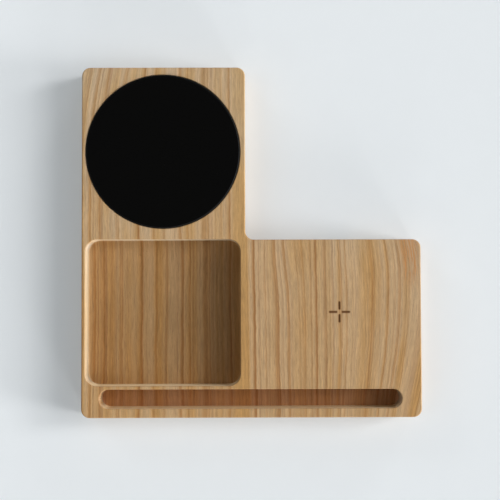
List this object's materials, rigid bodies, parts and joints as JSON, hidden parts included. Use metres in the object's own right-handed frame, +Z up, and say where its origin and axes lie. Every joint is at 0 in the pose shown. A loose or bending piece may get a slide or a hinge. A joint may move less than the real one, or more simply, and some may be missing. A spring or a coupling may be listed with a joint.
{
  "type": "wireless charging desk organiser",
  "caption": "L-shaped wooden desk organiser with a lift-out round coaster, a tray, a pen groove and a marked charging place over a hidden wireless charger fed by a USB-C port.",
  "frame": {"origin": "middle of the bounding box in plan, on the surface that the feet stand on", "axes": "+Z up, +Y towards the rear, from the pen groove to the coaster, +X to the right, along the pen groove"},
  "size_m": [0.22, 0.2276, 0.0205],
  "materials": {
    "wood": "fine straight grain, satin oil finish",
    "coaster_glass": "opaque black, smooth",
    "felt": "pressed felt",
    "black_plastic": "fine spark-eroded texture",
    "steel": "bright zinc plated",
    "brass": "turned",
    "foot_rubber": "matt moulded",
    "white_plastic": "moulded",
    "tape": "double-sided adhesive tissue",
    "ferrite": "sintered, dull",
    "litz_wire": "silk-served litz wire, copper strands",
    "thermistor_resin": "dipped resin",
    "board_laminate": "green solder mask",
    "chip_resin": "moulded epoxy",
    "capacitor_ceramic": "sintered, plated ends",
    "inductor_core": "pressed powder",
    "can_aluminium": "drawn can",
    "shell_steel": "nickel plated",
    "foam": "closed-cell foam"
  },
  "bodies": {
    "root": {"wood_body": "wood", "bottom_cover": "black_plastic", "cover_screws": "steel", "cover_inserts": "brass", "foot_front_left": "foot_rubber", "foot_front_right": "foot_rubber", "foot_notch_right": "foot_rubber", "foot_inner": "foot_rubber", "foot_rear_left": "foot_rubber", "foot_rear_right": "foot_rubber", "coil_carrier": "white_plastic", "carrier_screws": "steel", "shield_tape": "tape", "ferrite_plate": "ferrite", "coil_tape": "tape", "transmit_coil": "litz_wire", "thermistor": "thermistor_resin", "circuit_board": "board_laminate", "board_screws": "steel", "controller_chip": "chip_resin", "power_chip": "chip_resin", "bridge_transistors": "chip_resin", "resonant_capacitors": "capacitor_ceramic", "power_inductor": "inductor_core", "input_capacitor": "can_aluminium", "usb_shell": "shell_steel", "usb_tongue": "black_plastic", "port_liner": "black_plastic", "board_cushion": "foam"},
    "coaster": {"coaster_disc": "coaster_glass", "coaster_pad": "felt"}
  },
  "joints": [
    {"name": "coaster_lift", "type": "slide", "parent": "root", "child": "coaster", "axis": [0, 0, 1], "range_m": [0, 0.03]}
  ]
}
